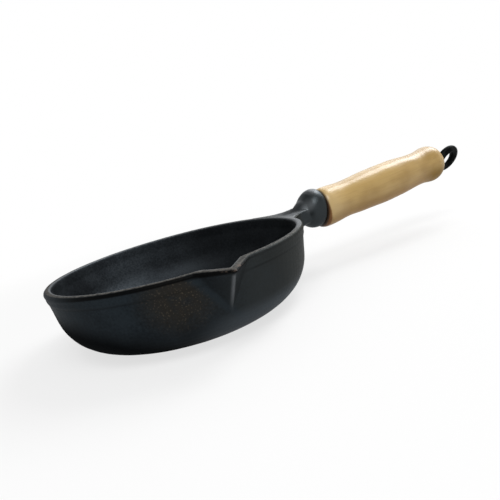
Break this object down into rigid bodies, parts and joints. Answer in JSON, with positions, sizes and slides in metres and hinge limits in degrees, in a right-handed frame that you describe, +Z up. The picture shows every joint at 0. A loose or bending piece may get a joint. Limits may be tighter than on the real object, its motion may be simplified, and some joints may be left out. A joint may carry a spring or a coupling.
{
  "type": "egg pan",
  "caption": "Small round cast iron egg pan with a flat base, a pour spout on one side, a turned wooden grip and a steel hanging eye.",
  "frame": {"origin": "centre of the flat base's underside", "axes": "+X out along the handle, +Z up, the pour spout points to -Y"},
  "size_m": [0.3694, 0.198, 0.0706],
  "materials": {
    "iron": "seasoned, fine grained, half matt",
    "wood": "clear gloss lacquer over pale turned wood",
    "steel": "blackened steel"
  },
  "bodies": {
    "pan": {"pan_casting": "iron"},
    "grip": {"wooden_grip": "wood"},
    "eye_rod": {"eye_rod": "steel"}
  },
  "joints": [
    {"name": "handle_draw", "type": "slide", "parent": "pan", "child": "grip", "axis": [0.9971, 0, 0.0767], "range_m": [0, 0.015]},
    {"name": "eye_rod_turn", "type": "hinge", "parent": "grip", "child": "eye_rod", "pos_m": [0.12, 0, 0.0453], "axis": [0.9971, 0, 0.0767], "range_deg": [0, 5400]}
  ],
  "couplings": [
    {"joint": "eye_rod_turn", "follows": "handle_draw", "rad_per_m": 6283.2}
  ]
}
